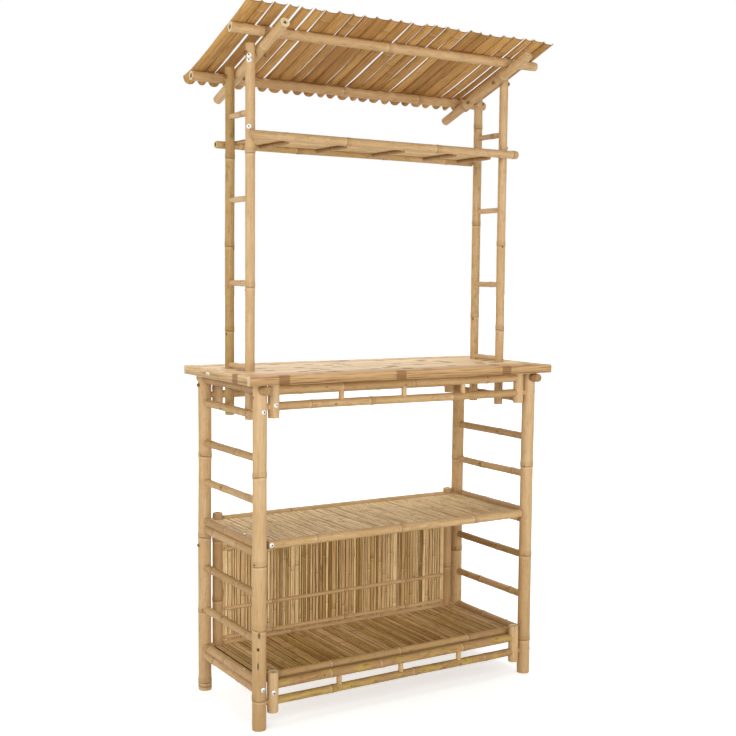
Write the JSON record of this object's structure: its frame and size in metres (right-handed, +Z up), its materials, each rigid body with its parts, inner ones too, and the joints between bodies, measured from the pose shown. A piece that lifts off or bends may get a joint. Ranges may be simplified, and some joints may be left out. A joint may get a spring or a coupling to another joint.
{
  "type": "bamboo bar hut with a slatted roof",
  "caption": "Freestanding bamboo bar: a counter on a pole frame with storage shelves, posts, an upper shelf and a sloping split-bamboo roof.",
  "frame": {"origin": "on the floor, under the middle of the hut's bounding box", "axes": "+Z up; +X along the counter to the right as seen from the shelf side; +Y from the shelf side to the guests' side"},
  "size_m": [1.066, 0.4616, 2.0057],
  "materials": {
    "bamboo_pole": "satin natural bamboo bark with paler nodes",
    "split_bamboo": "matt to satin split bamboo, light and dark slats",
    "counter_bamboo": "smooth planed bamboo strips, thin clear coat",
    "zinc_bolt": "bright zinc plate"
  },
  "bodies": {
    "root": {"leg_front_left": "bamboo_pole", "leg_back_left": "bamboo_pole", "side_top_rail_left": "bamboo_pole", "side_rung_left_1": "bamboo_pole", "side_rung_left_2": "bamboo_pole", "side_rung_left_3": "bamboo_pole", "side_rung_left_4": "bamboo_pole", "side_rung_left_5": "bamboo_pole", "mid_shelf_rung_pair_left": "bamboo_pole", "low_shelf_rung_pair_left": "bamboo_pole", "leg_front_right": "bamboo_pole", "leg_back_right": "bamboo_pole", "side_top_rail_right": "bamboo_pole", "side_rung_right_1": "bamboo_pole", "side_rung_right_2": "bamboo_pole", "side_rung_right_3": "bamboo_pole", "side_rung_right_4": "bamboo_pole", "side_rung_right_5": "bamboo_pole", "mid_shelf_rung_pair_right": "bamboo_pole", "low_shelf_rung_pair_right": "bamboo_pole", "counter_front_apron": "bamboo_pole", "counter_back_apron": "bamboo_pole", "low_front_apron": "bamboo_pole", "panel_stile_left": "bamboo_pole", "panel_stile_right": "bamboo_pole", "panel_top_rail": "bamboo_pole", "panel_bottom_rail": "bamboo_pole", "post_front_left": "bamboo_pole", "post_back_left": "bamboo_pole", "post_rung_left_1": "bamboo_pole", "post_rung_left_2": "bamboo_pole", "post_rung_left_3": "bamboo_pole", "post_rung_left_4": "bamboo_pole", "post_front_right": "bamboo_pole", "post_back_right": "bamboo_pole", "post_rung_right_1": "bamboo_pole", "post_rung_right_2": "bamboo_pole", "post_rung_right_3": "bamboo_pole", "post_rung_right_4": "bamboo_pole", "upper_shelf_front_rail": "bamboo_pole", "upper_shelf_back_rail": "bamboo_pole", "rafter_left": "bamboo_pole", "rafter_right": "bamboo_pole", "purlin_high": "bamboo_pole", "purlin_low": "bamboo_pole", "mid_shelf": "split_bamboo", "low_shelf": "split_bamboo", "panel_slats": "split_bamboo", "upper_shelf_deck": "split_bamboo", "roof_slats": "split_bamboo", "counter_field": "counter_bamboo", "counter_front_edge": "counter_bamboo", "counter_back_edge": "counter_bamboo", "counter_left_edge": "counter_bamboo", "counter_right_edge": "counter_bamboo", "rafter_bolt_front_left": "zinc_bolt", "rafter_bolt_back_left": "zinc_bolt", "rafter_bolt_front_right": "zinc_bolt", "rafter_bolt_back_right": "zinc_bolt"}
  },
  "joints": []
}
